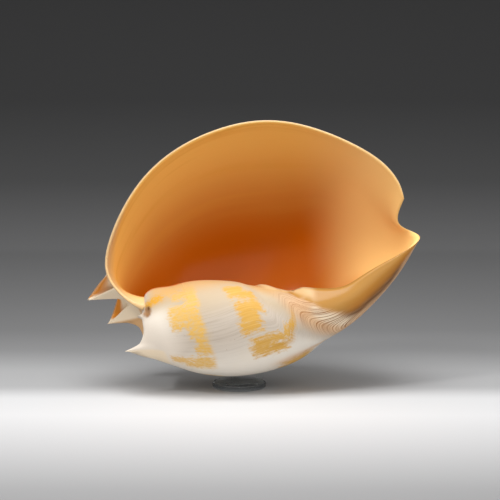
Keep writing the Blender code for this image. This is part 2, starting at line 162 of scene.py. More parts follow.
def spline_weights(knots, at):
    """Weights that carry values at the knots to a natural cubic spline at other points."""
    knots = np.asarray(knots, float)
    at = np.asarray(at, float)
    count = len(knots)
    gap = np.diff(knots)
    left = np.eye(count)
    right = np.zeros((count, count))
    for i in range(1, count - 1):
        left[i, i - 1:i + 2] = gap[i - 1], 2 * (gap[i - 1] + gap[i]), gap[i]
        right[i, i - 1:i + 2] = 6 / gap[i - 1], -6 / gap[i - 1] - 6 / gap[i], 6 / gap[i]
    bend = np.linalg.solve(left, right)
    value = np.eye(count)
    span = np.clip(np.searchsorted(knots, at) - 1, 0, count - 2)
    width = gap[span]
    a = (knots[span + 1] - at) / width
    b = (at - knots[span]) / width
    return (a[:, None] * value[span] + b[:, None] * value[span + 1]
            + ((a ** 3 - a) * width ** 2 / 6)[:, None] * bend[span]
            + ((b ** 3 - b) * width ** 2 / 6)[:, None] * bend[span + 1])


def row_points(name, stages):
    """One growth row at the given stages: (along, up, towards the viewer)."""
    if name in PLACED_ROWS:
        row = PLACED_ROWS[name]
        knots = sorted(row)
        return spline_weights(knots, stages) @ np.array([row[k] for k in knots], float)
    row = ROUND_ROWS[name]
    knots = sorted(row)
    values = np.array([row[k] for k in knots], float)
    weights = spline_weights(knots, stages)
    along = weights @ values[:, 0]
    radius = np.exp(weights @ np.log(values[:, 1]))
    angle = 2 * np.pi * stages + np.radians(weights @ values[:, 2])
    return np.stack([along, radius * np.cos(angle), radius * np.sin(angle)], 1)


def sheet(stages, across):
    """The outer face of the shell wall, as a grid of points, stage by stage."""
    rows = np.stack([row_points(name, stages) for name in ACROSS])
    weights = spline_weights(list(ACROSS.values()), across)
    return np.einsum("vr,rtc->tvc", weights, rows)


def smooth(low, high, value):
    """A share that goes smoothly from 0 at low to 1 at high. Low may be the larger of the two."""
    share = np.clip((value - low) / (high - low), 0, 1)
    return share * share * (3 - 2 * share)


def bell(middle, width, value):
    """A round peak that is 1 in its middle."""
    return np.exp(-((value - middle) / width) ** 2)


def wall_thickness(stages, across):
    """Thickness of the wall: thin at the lip and in the early turns, thick in the pillar at the free rim."""
    t = stages[:, None]
    v = across[None, :]
    thick = LIP_WALL + FURTHER_WALL * smooth(0, -0.12, t)
    thick = thick - FURTHER_WALL * smooth(-0.25, -0.7, t) * smooth(0.40, 0.15, v)
    thick = thick + PILLAR_WALL * smooth(0.76, 0.92, v) * smooth(-0.22, -0.42, t)
    rounding = np.clip((v - 0.90) / 0.10, 0, 1)
    return thick * np.sqrt(1 - rounding ** 2)


def inner_sheet(stages, across):
    """The inner face: a smooth sheet through the outer rows, moved in by the thickness of the wall."""
    rows = np.array(sorted([*ACROSS.values(), NEAR_RIM]))
    step = 0.008
    across_way = sheet(stages, rows + step) - sheet(stages, rows - step)
    growth_way = sheet(stages + step, rows) - sheet(stages - step, rows)
    normal = np.cross(growth_way, across_way)
    normal /= np.linalg.norm(normal, axis=2, keepdims=True)
    moved = sheet(stages, rows) - normal * wall_thickness(stages, rows)[..., None]
    return np.einsum("vr,trc->tvc", spline_weights(rows, across), moved)


def stage_list():
    """Stages over one overlap, closer together at the long spines, repeated back to the first stage."""
    fine = np.linspace(-OVERLAP, 0, 2001)
    density = np.ones(len(fine))
    for spine in LONG_SPINES:
        density += CLOSER_AT_SPINES * bell(spine.stage + CLOSER_LEAD, CLOSER_RUN, fine)
    total = np.concatenate([[0], np.cumsum((density[1:] + density[:-1]) / 2)])
    step = round(STAGES_PER_TURN * OVERLAP * total[-1] / (len(fine) - 1))
    one = np.interp(np.linspace(0, total[-1], step + 1), total, fine)
    for spine in SPINES:
        one[np.argmin(abs(one - spine.stage))] = spine.stage
    cycles = range(math.ceil(-FIRST_STAGE / OVERLAP) - 1, -1, -1)
    stages = np.concatenate([one[:-1] - k * OVERLAP for k in cycles] + [one[-1:]])
    return stages[stages >= FIRST_STAGE - 1e-9], step


def spine_frame(spine, stages, across):
    """Millimetres along the growth and across it, from the middle of a spine's foot, at places given."""
    reach = 0.04
    places = SPINE_LINE + reach * np.array([-1, 0, 1])
    inner_side, middle, outer_side = sheet(np.array([spine.stage]), places)[0]
    x = (stages - spine.stage) * 2 * math.pi * math.hypot(middle[1], middle[2])
    share = across - SPINE_LINE
    inner_scale = np.linalg.norm(middle - inner_side) / reach
    outer_scale = np.linalg.norm(outer_side - middle) / reach
    return x, share * np.where(share > 0, outer_scale, inner_scale)


def spine_height(spine, x, y):
    """Share of its height that a spine has at x along its growth and y across it, in millimetres."""
    q = np.abs(y) / spine.foot
    crest = 1 - CREST_DROP * (q / CREST_HALF) ** 2
    slope = (1 - CREST_DROP) * np.clip((1 - q) / (1 - CREST_HALF), 0, 1) ** 2
    slope = np.where(q < CREST_HALF, crest, slope)
    side = np.clip(1 - q, 0, 1) ** 2
    side = side + (slope - side) * smooth(-ROUND_BACK * spine.back_run, 0, x)
    flare = BROAD_FLARE * np.clip(1 + x / spine.back_run, 0, 1) ** 2
    flare = flare + STEEP_FLARE * np.clip(1 + x / (STEEP_RUN * spine.back_run), 0, 1) ** 1.5
    if spine.length < LONG_SPINE:
        front = np.clip(1 - x / spine.foot, 0, 1) ** 2 * side
    else:
        run = np.where(y > 0, OUTER_RIM_RUN, INNER_RIM_RUN) * spine.length
        rim = np.clip(1 - x / run, 0, 1)
        floor = np.clip(1 - x / (FLOOR_RUN * spine.length), 0, 1) ** 1.5
        front = rim * slope - (rim - np.minimum(floor, rim)) * (1 - smooth(GROOVE_MIDDLE, CREST_HALF, q))
    return np.where(x < 0, flare * side, front)


def raise_spines(grid, stages, across):
    """Push the spines out of the shoulder, squeezing each to a point as it rises."""
    beside = sheet(stages, np.array([SPINE_LINE - 0.01, SPINE_LINE + 0.01]))
    aside = beside[:, 1] - beside[:, 0]
    aside /= np.linalg.norm(aside, axis=1, keepdims=True)
    for spine in SPINES:
        angle = 2 * math.pi * spine.stage
        outward = np.array([0, math.cos(angle), math.sin(angle)])
        ahead = np.array([0, -math.sin(angle), math.cos(angle)])
        point = spine.way[0] * np.array([1.0, 0, 0]) + spine.way[1] * outward + spine.way[2] * ahead
        point /= np.linalg.norm(point)
        x, y = spine_frame(spine, stages[:, None], across[None, :])
        height = spine_height(spine, x, y)
        squeeze = -y * TIP_SQUEEZE * np.clip(height, 0, 1) ** SQUEEZE_POWER * (spine.length > LONG_SPINE)
        grid = grid + (spine.length * height)[..., None] * point + squeeze[..., None] * aside[:, None, :]
    return grid


def raised_pads(stages, across):
    """Height of the glossy pad beside the back end of the lip, with its notch, and of the pillar's folds."""
    t = stages[:, None]
    v = across[None, :]
    pad = PAD_HEIGHT * bell(-0.98, 0.07, t) * smooth(0.18, 0.25, v) * (1 - smooth(0.27, 0.46, v))
    first_fold = FIRST_FOLD * bell(0.915, 0.025, v) * smooth(-0.885, -0.945, t)
    second_fold = SECOND_FOLD * bell(0.865, 0.018, v) * smooth(-1.02, -1.12, t)
    rim_fold = (RIM_FOLD * bell(-0.79, 0.04, t) - RIM_DENT * bell(-0.865, 0.012, t)) * smooth(0.93, 0.965, v)
    notch = NOTCH_DEPTH * bell(-0.872, 0.022, t) * bell(0.244, 0.02, v)
    return pad + first_fold + second_fold + rim_fold - notch


# The side of the wall that a corner of a face lies on.
OUTER_SIDE = 0.0
LIP_SIDE = 0.5
INNER_SIDE = 1.0


class Skin:
    """The points and faces of the shell. Each corner of a face keeps its (stage, place across, side)."""

    def __init__(self):
        self.across = np.array(LINES_ACROSS, float)
        self.stages, self.step = stage_list()
        self.attach = LINES_ACROSS.index(ATTACH)
        self.inside = LINES_ACROSS.index(INSIDE)
        self.last = len(self.stages) - 1
        self.width = len(self.across) - 1
        outer = sheet(self.stages, self.across)
        away = outer * np.array([0, 1.0, 1.0])
        away /= np.linalg.norm(away, axis=2, keepdims=True)
        outer = outer + away * raised_pads(self.stages, self.across)[..., None]
        self.pull_to_last_turn(outer, outer, self.attach, OUTSIDE_BEND)
        self.inner_grid = inner_sheet(self.stages, self.across)
        self.pull_to_last_turn(self.inner_grid, outer, self.inside, INSIDE_BEND)
        self.outer_grid = raise_spines(outer, self.stages, self.across)
        self.points = []
        self.faces = []
        self.corners = []
        self.known = {}

    def pull_to_last_turn(self, grid, outer, line, reach):
        """Bend the start of each turn so that it meets a line of the turn before."""
        pull = np.clip(1 - self.across / reach, 0, 1)[:, None] ** 2
        for i in range(self.step, self.last + 1):
            grid[i] += pull * (outer[i - self.step, line] - grid[i, 0])

    def add(self, place):
        self.points.append(place)
        return len(self.points) - 1

    def outer(self, i, j):
        """A point of the outer face, with its mark. The first line of a turn is a line of the turn before."""
        mark = (self.stages[i], self.across[j], OUTER_SIDE)
        while j == 0 and i >= self.step:
            i, j = i - self.step, self.attach
        if ("outer", i, j) not in self.known:
            self.known["outer", i, j] = self.add(self.outer_grid[i, j])
        return self.known["outer", i, j], mark

    def inner(self, i, j):
        """A point of the inner face, with its mark. The first and last lines belong to the outer face."""
        mark = (self.stages[i], self.across[j], INNER_SIDE)
        if j == 0:
            return self.outer(i - self.step, self.inside)[0], mark
        if j == self.width:
            return self.outer(i, j)[0], mark
        if ("inner", i, j) not in self.known:
            self.known["inner", i, j] = self.add(self.inner_grid[i, j])
        return self.known["inner", i, j], mark

    def face(self, *ring):
        """A face through a ring of points, without those that coincide."""
        kept = list({point: mark for point, mark in ring}.items())
        if len(kept) > 2:
            self.faces.append([point for point, mark in kept])
            self.corners.extend(mark for point, mark in kept)

    def band(self, first, second, closed):
        """Faces between two lines of points."""
        pairs = list(zip(first, second))
        following = pairs[1:] + pairs[:1] if closed else pairs[1:]
        for (a, b), (c, d) in zip(pairs, following):
            self.face(a, b, d, c)

    def fan(self, ring, middle):
        """Faces from a closed line of points to one in its middle."""
        for a, b in zip(ring, ring[1:] + ring[:1]):
            self.face(a, b, middle)


def outer_and_inner_faces(skin):
    """The spire, the newest turn and, deep inside, the part of the last turn that lines the hollow."""
    deep = int(np.argmin(abs(skin.stages - DEEPEST_STAGE)))
    for i in range(skin.last):
        newest = i >= skin.last - skin.step
        lining = i >= deep - skin.step
        for j in range(skin.width):
            if newest or j < skin.attach or (lining and j >= skin.inside):
                skin.face(skin.outer(i, j), skin.outer(i + 1, j),
                          skin.outer(i + 1, j + 1), skin.outer(i, j + 1))
    for i in range(deep, skin.last):
        skin.band([skin.inner(i + 1, j) for j in range(skin.width + 1)],
                  [skin.inner(i, j) for j in range(skin.width + 1)], closed=False)
    return deep


def lip_edge(skin):
    """The lip: a rounded edge between the outer and the inner face."""
    last = skin.last
    ahead = skin.outer_grid[last] - skin.outer_grid[last - 1]
    ahead /= np.linalg.norm(ahead, axis=1, keepdims=True)
    first = skin.outer(last - skin.step, skin.attach + 1)[0]
    middle = [(first, (0.0, 0.0, LIP_SIDE))]
    for j in range(1, skin.width):
        outer = skin.outer_grid[last, j]
        inner = skin.inner_grid[last, j]
        bulge = LIP_BULGE * np.linalg.norm(outer - inner)
        middle.append((skin.add((outer + inner) / 2 + ahead[j] * bulge), (0.0, skin.across[j], LIP_SIDE)))
    middle.append((skin.outer(last, skin.width)[0], (0.0, 1.0, LIP_SIDE)))
    skin.band([skin.outer(last, j) for j in range(skin.width + 1)], middle, closed=False)
    skin.band(middle, [skin.inner(last, j) for j in range(skin.width + 1)], closed=False)


def deep_end(skin, deep):
    """The wall at the deep end of the hollow."""
    rim = [skin.outer(i, skin.width) for i in range(deep - skin.step, deep + 1)]
    hollow = [skin.inner(deep, j) for j in range(skin.width - 1, -1, -1)]
    hollow += [skin.outer(deep - skin.step, j) for j in range(skin.inside + 1, skin.width)]
    middle = skin.add(np.mean([skin.points[point] for point, mark in hollow], axis=0))
    skin.fan(rim + hollow, (middle, (DEEPEST_STAGE, 0.5, INNER_SIDE)))


def first_dome(skin):
    """The smooth dome at the very start of the spire."""
    base = [skin.outer(i, 0) for i in range(skin.step + 1)]
    base += [skin.outer(0, j) for j in range(skin.attach - 1, 0, -1)]
    middle = np.mean([skin.points[point] for point, mark in base], axis=0)
    mark = (FIRST_STAGE, 0.0, OUTER_SIDE)
    ring = [(point, mark) for point, old in base]
    for r in range(1, DOME_RINGS):
        turn = r / DOME_RINGS * math.pi / 2
        lift = np.array([-DOME_HEIGHT * math.sin(turn), 0, 0])
        higher = [(skin.add(middle + (skin.points[point] - middle) * math.cos(turn) + lift), mark)
                  for point, old in base]
        skin.band(ring, higher, closed=True)
        ring = higher
    skin.fan(ring[::-1], (skin.add(middle - np.array([DOME_HEIGHT, 0, 0])), mark))


def shell_mesh(skin):
    """The whole skin as one mesh, at its size and with its axis rising as it stands."""
    deep = outer_and_inner_faces(skin)
    lip_edge(skin)
    deep_end(skin, deep)
    first_dome(skin)
    scale = LIP_LENGTH / (PLACED_ROWS["rim"][0][0] - ROUND_ROWS["shoulder"][0][0])
    along = np.array([math.cos(AXIS_RISE), 0, math.sin(AXIS_RISE)])
    up = np.array([-math.sin(AXIS_RISE), 0, math.cos(AXIS_RISE)])
    toward = np.array([0, -1.0, 0])
    points = np.array(skin.points) @ np.stack([along, up, toward]) * scale + np.array(APEX_PLACE)
    mesh = bpy.data.meshes.new("baler_shell")
    mesh.from_pydata([tuple(p) for p in points * MM], [], skin.faces)
    mesh.shade_smooth()
    return mesh


def paint(mesh, name, values):
    """Keep a value for each corner of each face, for the material to read."""
    layer = mesh.attributes.new(name, "FLOAT", "CORNER")
    layer.data.foreach_set("value", np.ascontiguousarray(values, dtype=np.float32))


# Growth lines follow the lip, but bend back to older stages towards the notch at the front end of the shell.
GROWTH_BEND = {0.0: 0.0, 0.3: 0.0, 0.55: 0.0, 0.70: 0.0, 0.76: 0.018, 0.80: 0.070, 0.85: 0.118, 0.88: 0.165,
               0.905: 0.198, 0.925: 0.165, 0.945: 0.09, 0.965: 0.03, 1.0: 0.0}
TURN_LENGTH = 250.0
ACROSS_LENGTH = 230.0


def growth_phase(stage, across):
    """The stage at which the lip laid down a place, with the bend of the notch."""
    places = np.linspace(0, 1, 401)
    bend = spline_weights(list(GROWTH_BEND), places) @ np.array(list(GROWTH_BEND.values()))
    fade = smooth(-0.05, -0.3, stage)
    return stage + fade * np.interp(across, places, bend)


def polyline(points, value):
    """The place across of a line of straight runs through a few (stage, place across) points."""
    stages, places = np.array(sorted(points)).T
    return np.interp(value, stages, places)


# The callus is the glossy layer that the animal spread from the mouth over the pillar and the turn before.
CALLUS_EDGE = [(-1.10, 0.80), (-0.95, 0.868), (-0.93, 0.893), (-0.912, 0.922), (-0.865, 0.948),
               (-0.82, 0.951), (-0.775, 0.958), (-0.73, 0.957), (-0.66, 0.949), (-0.61, 0.945),
               (-0.535, 0.935), (-0.49, 0.937), (-0.44, 0.943), (-0.40, 0.945), (-0.36, 0.951),
               (-0.33, 0.962), (-0.30, 0.978), (-0.27, 0.990), (-0.25, 0.998)]
NO_BLOTCH = -30.0
# The yellow blotches: stage, place across, half the size along the growth and across it, in millimetres.
BLOTCHES = [
    (-0.925, 0.41, 6, 9), (-0.945, 0.47, 5, 9), (-0.900, 0.50, 6, 6), (-0.880, 0.455, 5, 9),
    (-0.815, 0.43, 4, 11), (-0.785, 0.44, 6, 11), (-0.770, 0.395, 8, 5), (-0.755, 0.44, 3, 7),
    (-0.850, 0.50, 10, 4.5), (-0.780, 0.485, 16, 4.5), (-0.700, 0.475, 16, 4.5), (-0.656, 0.475, 3.2, 7),
    (-0.600, 0.455, 6, 10), (-0.585, 0.42, 4, 12), (-0.600, 0.35, 4, 11),
    (-0.720, 0.455, 5, 3.5),
    (-0.834, 0.667, 7, 8), (-0.810, 0.70, 5, 9), (-0.755, 0.668, 6, 8), (-0.725, 0.668, 7, 8),
    (-0.760, 0.71, 6, 7), (-0.695, 0.655, 5, 8),
    (-0.632, 0.668, 5, 8), (-0.612, 0.65, 5, 7), (-0.602, 0.69, 4, 8), (-0.638, 0.715, 4, 7),
    (-0.617, 0.83, 3, 6), (-0.608, 0.875, 2, 6), (-0.630, 0.775, 4, 6),
    (-0.498, 0.71, 5, 9), (-0.45, 0.69, 10, 9), (-0.40, 0.44, 8, 9), (-0.47, 0.46, 9, 8),
    (-0.34, 0.68, 12, 10), (-0.30, 0.45, 9, 8), (-0.22, 0.69, 9, 10), (-0.17, 0.44, 8, 9),
    (-0.11, 0.68, 8, 9),
]
# The blotches above this line stop at it with a sharp edge, up to a last stage and place across. A short run
# away from it their edges are ragged, as they are where there is no such edge.
SHARP_EDGE = [(-0.95, 0.537), (-0.853, 0.523), (-0.772, 0.510), (-0.693, 0.500), (-0.648, 0.498),
              (-0.564, 0.482), (-0.50, 0.480)]
SHARP_EDGE_END = (-0.5, 0.60)
SHARP_RUN = 3.0
NO_EDGE = 10.0


def blotch_field(stage, across):
    """Millimetres inside (above 0) or outside the nearest yellow blotch."""
    field = np.full(len(stage), NO_BLOTCH)
    for middle, place, half_growth, half_across in BLOTCHES:
        x = np.abs(stage - middle) * TURN_LENGTH - half_growth
        y = np.abs(across - place) * ACROSS_LENGTH - half_across
        outside = np.hypot(np.maximum(x, 0), np.maximum(y, 0))
        field = np.maximum(field, -(outside + np.minimum(np.maximum(x, y), 0)))
    return field


# Spines newer than the fresh stage keep their colour, and what is painted on a spine fades towards its front.
FRESH_STAGE = -0.5
FRESH_TINT = 0.95
OLD_TINT = 0.15
FRONT_FADE = 24.0
FRONT_END = 34.0


def groove_mark(spine, x, y):
    """The open groove along the front of a spine, where the glaze of the newest ones is still fresh."""
    share = y / spine.foot
    groove = smooth(0.20, 0.27, share) * smooth(0.48, 0.38, share) * smooth(2.0, 4.5, x)
    return groove * smooth(FRONT_END, FRONT_FADE, x) * (spine.stage > FRESH_STAGE)


def tint_mark(spine, x, y):
    """The warm colour that runs up a spine and over the shoulder round its foot."""
    strength = FRESH_TINT if spine.stage > FRESH_STAGE else OLD_TINT
    return strength * smooth(1.7, 0.8, np.hypot(x / 26.0, y / 20.0))


def rim_mark(spine, x, y):
    """The pale rims on both sides of the groove."""
    rim = smooth(1.25, 1.05, np.abs(y) / spine.foot) * smooth(-2.0, 1.0, x)
    return rim * smooth(FRONT_END, FRONT_FADE, x)


def on_long_spines(mark, stage, across):
    """One kind of mark on all the long spines, as shares from 0 to 1."""
    return np.max([mark(spine, *spine_frame(spine, stage, across)) for spine in LONG_SPINES], axis=0)


def sizes_from(spot, stage, across):
    """Distance from a round spot, counted in the spot's own size."""
    middle, place, size = spot
    return np.hypot((stage - middle) / size, (across - place) / size)


# The painted shadow of the notch and of the hole in the glossy pad: stage, place across, and size in the same
# shares.
NOTCH_SHADOW_SPOT = (-0.866, 0.240, 0.034)
HOLE_SHADOW_SPOT = (-0.884, 0.256, 0.008)
CALLUS_START = -1.12
# Place across: radius of the lip, and width of the pale band along it, in millimetres.
LIP_RADII = {0: 20, 0.07: 32, 0.15: 55, 0.25: 88, 0.40: 141, 0.58: 170, 0.73: 158, 0.85: 130, 1.0: 70}
BAND_WIDTHS = {0.0: 14.0, 0.16: 20.0, 0.22: 18.0, 0.30: 9.0, 0.38: 1.0}

skin = Skin()
mesh = shell_mesh(skin)
stage, across, side = np.array(skin.corners).T
phase = growth_phase(stage, across)
outside = side == OUTER_SIDE
callus_depth = (across - polyline(CALLUS_EDGE, stage)) * ACROSS_LENGTH
callus = smooth(-1.0, 1.0, callus_depth) * (stage > CALLUS_START)
fold_run = callus * smooth(0.958, 0.985, across) * smooth(-0.70, -0.76, stage)
dark_line = bell(-0.6, 1.8, callus_depth) * smooth(-0.62, -0.50, stage) * smooth(-0.31, -0.35, stage)
teeth = np.clip(1.4 * bell(-4.0, 3.4, callus_depth), 0, 1) * smooth(-0.76, -0.70, stage)
streak = bell(-0.608, 0.010, phase) * smooth(0.63, 0.70, across) * smooth(0.89, 0.86, across)
pale_back = smooth(0.46, 0.30, across) * smooth(-0.88, -0.80, stage) * (stage < -0.4)
# Painted light: the chalk is made paler low on the belly, where light falls from below.
lit_belly = 0.9 * smooth(-0.70, -0.58, stage) * smooth(-0.42, -0.50, stage) * smooth(0.88, 0.80, across)
outside_marks = {
    # The callus, its creamy folds, and the brown and dark lines along its edge.
    "callus": callus,
    "folds": np.maximum(fold_run, callus * smooth(-0.86, -0.90, stage)),
    "under": smooth(9.0, 1.0, callus_depth) * smooth(-0.60, -0.50, stage) * smooth(-0.27, -0.33, stage),
    "dark_line": dark_line,
    "teeth": teeth * smooth(-0.47, -0.55, stage),
    # The glossy pad beside the back end of the lip, with its golden patch, and painted shadow in its notch
    # and its hole.
    "pad": smooth(-0.80, -0.86, stage) * smooth(0.20, 0.24, across) * smooth(0.56, 0.44, across),
    "pad_gold": bell(-0.900, 0.032, stage) * smooth(0.20, 0.24, across) * smooth(0.43, 0.33, across),
    "notch": smooth(1.25, 0.8, sizes_from(NOTCH_SHADOW_SPOT, stage, across)),
    "hole_shadow": smooth(1.3, 0.7, sizes_from(HOLE_SHADOW_SPOT, stage, across)),
    # The long spines.
    "spine_tint": on_long_spines(tint_mark, stage, across),
    "spine_rim": on_long_spines(rim_mark, stage, across),
    "channel": on_long_spines(groove_mark, stage, across),
    # The chalky wall: the scaly band at the front end, warm and pale stretches, and one yellow streak. The
    # pale stretch low on the belly is painted light from below.
    "fasciole": smooth(0.845, 0.905, across) * smooth(-0.22, -0.30, stage) * smooth(-0.95, -0.80, stage),
    "warm_rim": bell(-0.525, 0.018, stage) * smooth(0.62, 0.70, across),
    "streak": streak * smooth(-0.52, -0.60, stage),
    "top": smooth(-0.73, -0.83, stage) * smooth(0.24, 0.34, across),
    "white": np.maximum(pale_back, lit_belly),
    "horizon": smooth(-0.84, -0.94, stage) * smooth(0.24, 0.34, across),
}
lip_distance = -stage * 2 * math.pi * np.interp(across, list(LIP_RADII), list(LIP_RADII.values()))
band_width = np.interp(across, list(BAND_WIDTHS), list(BAND_WIDTHS.values()))
inside_marks = {
    # The glaze runs from deep orange to a paler lip, partly its own colour and partly painted shade deep in
    # the mouth, with a pale band along the upper part of the lip.
    "lip_run_and_deep_shade": smooth(-0.195, -0.020, stage),
    # Painted reflection: a lighter peach on the right of the mouth stands in for a soft box mirrored in the
    # glaze.
    "peach_reflection": smooth(0.70, 0.88, across) * smooth(-0.42, -0.30, stage),
    # The pale band is partly the cream of the rolled lip and partly painted light on that inner side of the
    # lip, which faces away from the key light.
    "lip_band_and_light": np.clip(1.2 - lip_distance / band_width, 0, 1) * smooth(0.38, 0.28, across),
}
for name, mark in outside_marks.items():
    paint(mesh, name, np.where(outside, mark, 0.0))
for name, mark in inside_marks.items():
    paint(mesh, name, np.where(outside, 0.0, mark))
in_mouth = smooth(-0.955, -1.0, stage) * smooth(0.18, 0.23, across)
paint(mesh, "glaze", np.where(outside, in_mouth, 1.0))
paint(mesh, "lip_edge", side == LIP_SIDE)
edge_depth = (polyline(SHARP_EDGE, stage) - across) * ACROSS_LENGTH
near_edge = (stage < SHARP_EDGE_END[0]) & (across < SHARP_EDGE_END[1])
edge_depth = np.where(near_edge, edge_depth, NO_EDGE)
paint(mesh, "yellow", np.where(outside, np.minimum(blotch_field(phase, across), edge_depth), NO_BLOTCH))
paint(mesh, "ragged", np.clip(edge_depth / SHARP_RUN, 0, 1))
paint(mesh, "deep", smooth(0.54, 0.60, across))
growth_map = mesh.uv_layers.new(name="growth_map")
growth_places = np.stack([across * ACROSS_LENGTH, phase * TURN_LENGTH], 1) * MM
growth_map.data.foreach_set("uv", growth_places.astype(np.float32).ravel())


class Finish:
    """A new material and a short way to add nodes to it."""

    def __init__(self, name):
        self.material = bpy.data.materials.new(name)
        self.material.use_nodes = True
        self.tree = self.material.node_tree
        self.surface = self.tree.nodes["Principled BSDF"]

    def add(self, kind, output, links, **settings):
        """A node with its settings and inputs set. Gives the named output."""
        node = self.tree.nodes.new("ShaderNode" + kind)
        for key, value in settings.items():
            setattr(node, key, value)
        for socket, value in links.items():
            self.feed(node.inputs[socket], value)
        return node.outputs[output]

    def feed(self, socket, value):
        """Link a node's output to a socket, or set the socket to a plain value."""
        if isinstance(value, bpy.types.NodeSocket):
            self.tree.links.new(value, socket)
        else:
            socket.default_value = value

    def math(self, operation, first, second):
        return self.add("Math", "Value", {0: first, 1: second}, operation=operation)

    def painted(self, name, strength=None):
        """One of the marks painted on the mesh, made weaker where a strength is given."""
        mark = self.add("Attribute", "Fac", {}, attribute_name=name)
        return mark if strength is None else self.math("MULTIPLY", mark, strength)

    def ramp(self, value, low, high, first=0.0, last=1.0, smoothly=True):
        """A value that goes from first, at low, to last, at high, and stays there."""
        kind = "SMOOTHSTEP" if smoothly else "LINEAR"
        return self.add("MapRange", "Result", {"Value": value, "From Min": low, "From Max": high,
                                               "To Min": first, "To Max": last}, interpolation_type=kind)

    def blend(self, share, first, second):
        """Two colours mixed by a share. A mix has its colours in inputs 6 and 7 and gives one in output 2."""
        return self.add("Mix", 2, {0: share, 6: first, 7: second}, data_type="RGBA")

    def layered(self, ground, layers):
        """A colour with others laid over it one after another, each as (share, colour)."""
        for share, layer in layers:
            ground = self.blend(share, ground, layer)
        return ground

    def noise(self, place, scale, detail=2.0, roughness=0.5):
        return self.add("TexNoise", "Fac", {"Vector": place, "Scale": scale, "Detail": detail,
                                            "Roughness": roughness})

    def stretched(self, place, scales):
        return self.add("Mapping", "Vector", {"Vector": place, "Scale": scales})


CHALK = (0.53, 0.455, 0.375, 1)
CHALK_GREY = (0.38, 0.31, 0.245, 1)
CHALK_WARM = (0.54, 0.42, 0.275, 1)
# Paler chalk, which is also painted light low on the belly.
CHALK_PALE_AND_LIT = (0.80, 0.745, 0.66, 1)
CHALK_TOP = (0.50, 0.39, 0.26, 1)
PEACH = (0.58, 0.34, 0.17, 1)
HORIZON = (0.56, 0.345, 0.15, 1)
YELLOW = (0.72, 0.44, 0.11, 1)
YELLOW_BROWN = (0.56, 0.29, 0.04, 1)
FASCIOLE_TAN = (0.36, 0.16, 0.055, 1)
FASCIOLE_PALE = (0.68, 0.455, 0.27, 1)
TOOTH_BROWN = (0.24, 0.10, 0.03, 1)
# Dark brown for the line along the callus, and painted shadow in the hole under the end of the lip.
BROWN_AND_HOLE_SHADOW = (0.13, 0.05, 0.01, 1)
# Deep orange of the glaze, partly painted shade deep in the mouth.
DEEP_ORANGE_SHADED = (0.54, 0.12, 0.0, 1)
LIP_ORANGE = (1.0, 0.59, 0.14, 1)
BAND_ORANGE = (0.80, 0.40, 0.06, 1)
# A painted reflection of a soft box in the glaze of the mouth.
MOUTH_PEACH_REFLECTION = (0.97, 0.59, 0.21, 1)
LIP_CREAM = (0.72, 0.48, 0.23, 1)
CALLUS_GOLD = (0.42, 0.21, 0.05, 1)
CALLUS_BROWN = (0.42, 0.16, 0.018, 1)
CALLUS_CREAM = (0.60, 0.40, 0.20, 1)
PAD_GOLD = (0.64, 0.32, 0.03, 1)
# Painted shadow in the notch under the end of the lip.
NOTCH_SHADOW_TAN = (0.30, 0.16, 0.075, 1)
CHANNEL_ORANGE = (0.66, 0.23, 0.02, 1)
RIM_WHITE = (0.80, 0.66, 0.48, 1)
SPINE_TAN = (0.66, 0.39, 0.18, 1)

# How often each pattern repeats, in a metre: across the shell and along its growth, or through the solid.
FINE_LINES = (30, 1500, 1)
BROAD_LINES = (16, 480, 1)
RAGGED_EDGES = (210, 420, 1)
LIP_LINES = (5, 120, 1)
CLOUDS = 38.0
SPECKS = 330.0
# How far noise moves the edge of a blotch, in millimetres: at a sharp edge, elsewhere, and along the growth
# lines. The last moves the edge of the golden patch on the pad, as a share.
SHARP_SHIFT = 3.0
RAGGED_SHIFT = 17.0
BRUSHED_SHIFT = 7.0
GOLD_SHIFT = 1.8
# The finish of the chalk and of the glaze, and the shallow relief of the growth lines.
WALL_SPECULAR = 0.17
CHALK_ROUGHNESS = 0.5
GLAZE_ROUGHNESS = 0.20
GLAZE_RELIEF = 0.03
RELIEF_STRENGTH = 0.45
RELIEF_DEPTH = 0.4 * MM

wall = Finish("baler_shell_wall")
solid_place = wall.add("TexCoord", "Object", {})
growth_place = wall.add("UVMap", "UV", {}, uv_map="growth_map")
fine_lines = wall.noise(wall.stretched(growth_place, FINE_LINES), 1.0, 4.0, 0.65)
broad_lines = wall.noise(wall.stretched(growth_place, BROAD_LINES), 1.0, 4.0, 0.6)
ragged_noise = wall.noise(wall.stretched(growth_place, RAGGED_EDGES), 1.0, 5.0, 0.7)
lip_noise = wall.noise(wall.stretched(growth_place, LIP_LINES), 1.0, 3.0, 0.6)
clouds = wall.noise(solid_place, CLOUDS, 3.0)
specks = wall.noise(solid_place, SPECKS, 1.0)
both_lines = wall.math("ADD", wall.math("MULTIPLY", broad_lines, 0.4), wall.math("MULTIPLY", fine_lines, 0.6))
ragged = wall.math("SUBTRACT", ragged_noise, 0.5)
brushed = wall.math("SUBTRACT", fine_lines, 0.5)

# The yellow blotches, with edges that the noise and the growth lines make ragged.
shift = wall.math("MULTIPLY", ragged, wall.ramp(wall.painted("ragged"), 0, 1, SHARP_SHIFT, RAGGED_SHIFT))
blotch_edge = wall.math("ADD", wall.math("ADD", wall.painted("yellow"), shift),
                        wall.math("MULTIPLY", brushed, BRUSHED_SHIFT))
blotch_cover = wall.math("MAXIMUM", wall.ramp(ragged_noise, 0.38, 0.62, 0.70), wall.painted("deep", 0.95))
blotches = wall.math("MULTIPLY", wall.ramp(blotch_edge, -3.2, 2.6), blotch_cover)
deep_yellow = wall.blend(wall.ramp(fine_lines, 0.30, 0.60, 0.25, 0.75), YELLOW, YELLOW_BROWN)
pale_yellow = wall.blend(wall.ramp(fine_lines, 0.35, 0.65, last=0.35), YELLOW, YELLOW_BROWN)
yellow_tone = wall.blend(wall.painted("deep"), pale_yellow, deep_yellow)

